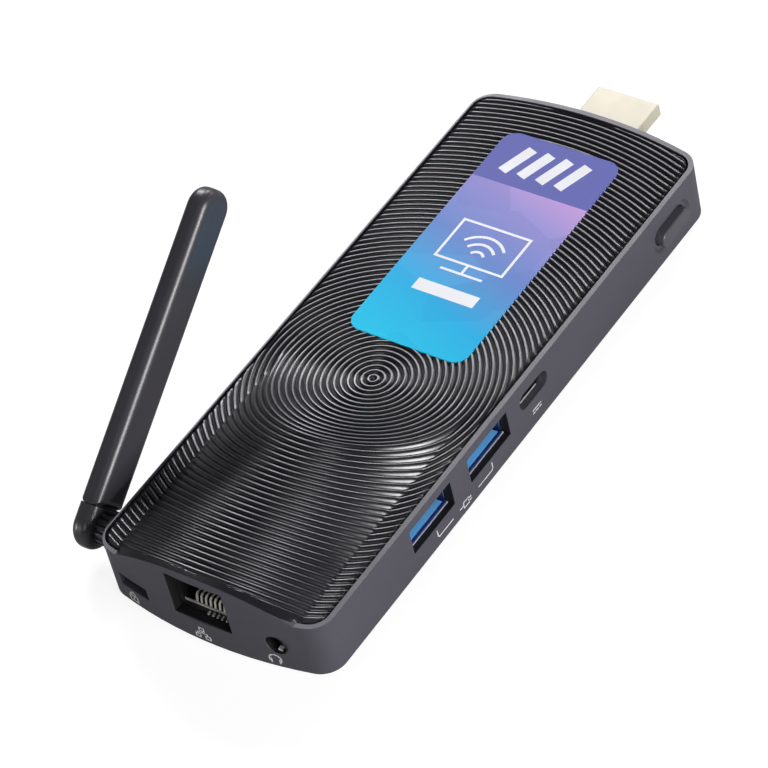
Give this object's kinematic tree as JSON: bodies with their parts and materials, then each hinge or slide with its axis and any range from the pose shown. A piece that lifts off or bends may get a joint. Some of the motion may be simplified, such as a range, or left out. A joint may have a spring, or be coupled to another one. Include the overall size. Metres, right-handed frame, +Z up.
{
  "type": "hdmi stick computer",
  "caption": "Slim stick computer with a ripple-ribbed top, a video plug at one end, side and end ports, a power button and a folding antenna.",
  "frame": {"origin": "centre of the flat underside of the case, midway between the crowns of its two bowed ends", "axes": "+Y along the case towards the video plug, +X towards the side ports, +Z up out of the ribbed top"},
  "size_m": [0.0601, 0.1464, 0.0479],
  "materials": {
    "case_plastic": "satin charcoal moulded plastic",
    "cover_plastic": "dark satin-gloss ribbed plastic",
    "antenna_plastic": "satin dark plastic",
    "label_film": "printed film, blue to violet",
    "screw_steel": "zinc plated",
    "hinge_steel": "turned steel",
    "spring_steel": "bright spring steel",
    "board_laminate": "solder-masked laminate",
    "chip_epoxy": "black moulding",
    "die_silicon": "processor package",
    "pad_silicone": "soft thermal pad",
    "spreader_aluminium": "milled",
    "shield_tin": "tinned shield",
    "coil_ferrite": "ferrite coils",
    "capacitor_ceramic": "tan ceramic",
    "cell_steel": "bright can",
    "plug_gold": "pale gold plating",
    "contact_gold": "gold plating",
    "port_steel": "bright port shell",
    "tongue_blue": "light blue insulator",
    "port_black": "black insulator",
    "button_plastic": "satin charcoal cap",
    "cable_jacket": "thin coaxial cable"
  },
  "bodies": {
    "case": {"side_frame": "case_plastic", "top_cover": "cover_plastic", "label": "label_film", "bottom_cover": "case_plastic", "case_screws": "screw_steel", "board_screws": "screw_steel", "main_board": "board_laminate", "processor": "die_silicon", "lower_thermal_pad": "pad_silicone", "heat_spreader": "spreader_aluminium", "upper_thermal_pad": "pad_silicone", "memory_chip_1": "chip_epoxy", "memory_chip_2": "chip_epoxy", "storage_chip": "chip_epoxy", "network_chip": "chip_epoxy", "power_chips": "chip_epoxy", "clock_cell": "cell_steel", "cell_tab": "spring_steel", "power_coils": "coil_ferrite", "capacitors": "capacitor_ceramic", "network_transformer": "chip_epoxy", "wifi_module": "shield_tin", "aerial_plug": "contact_gold", "hdmi_shell": "plug_gold", "hdmi_insulator": "port_black", "hdmi_contacts": "contact_gold", "usb_shell_1": "port_steel", "usb_insulator_1": "tongue_blue", "usb_contacts_1": "contact_gold", "usb_shell_2": "port_steel", "usb_insulator_2": "tongue_blue", "usb_contacts_2": "contact_gold", "usb_c_shell": "port_steel", "usb_c_insulator": "port_black", "usb_c_riser": "port_black", "lan_housing": "port_black", "lan_shield": "port_steel", "lan_contacts": "contact_gold", "audio_jack": "port_black", "audio_contact": "spring_steel", "lock_plate": "hinge_steel", "power_switch": "chip_epoxy", "hinge_washer": "spring_steel", "aerial_cable": "cable_jacket"},
    "power_button": {"power_button": "button_plastic", "switch_plunger": "button_plastic"},
    "antenna": {"antenna_knuckle": "antenna_plastic", "antenna_blade": "antenna_plastic", "antenna_core": "board_laminate", "hinge_pin": "hinge_steel", "hinge_clip": "spring_steel", "feed_cable": "cable_jacket"}
  },
  "joints": [
    {"name": "antenna_fold", "type": "hinge", "parent": "case", "child": "antenna", "pos_m": [-0.025, -0.0578, 0.0073], "axis": [1, 0, 0], "range_deg": [-36.6, 143.4]},
    {"name": "button_press", "type": "slide", "parent": "case", "child": "power_button", "axis": [-1, 0, 0], "range_m": [0, 0.0004], "stiffness_N_per_m": 2500, "springref_m": -0.0002}
  ]
}
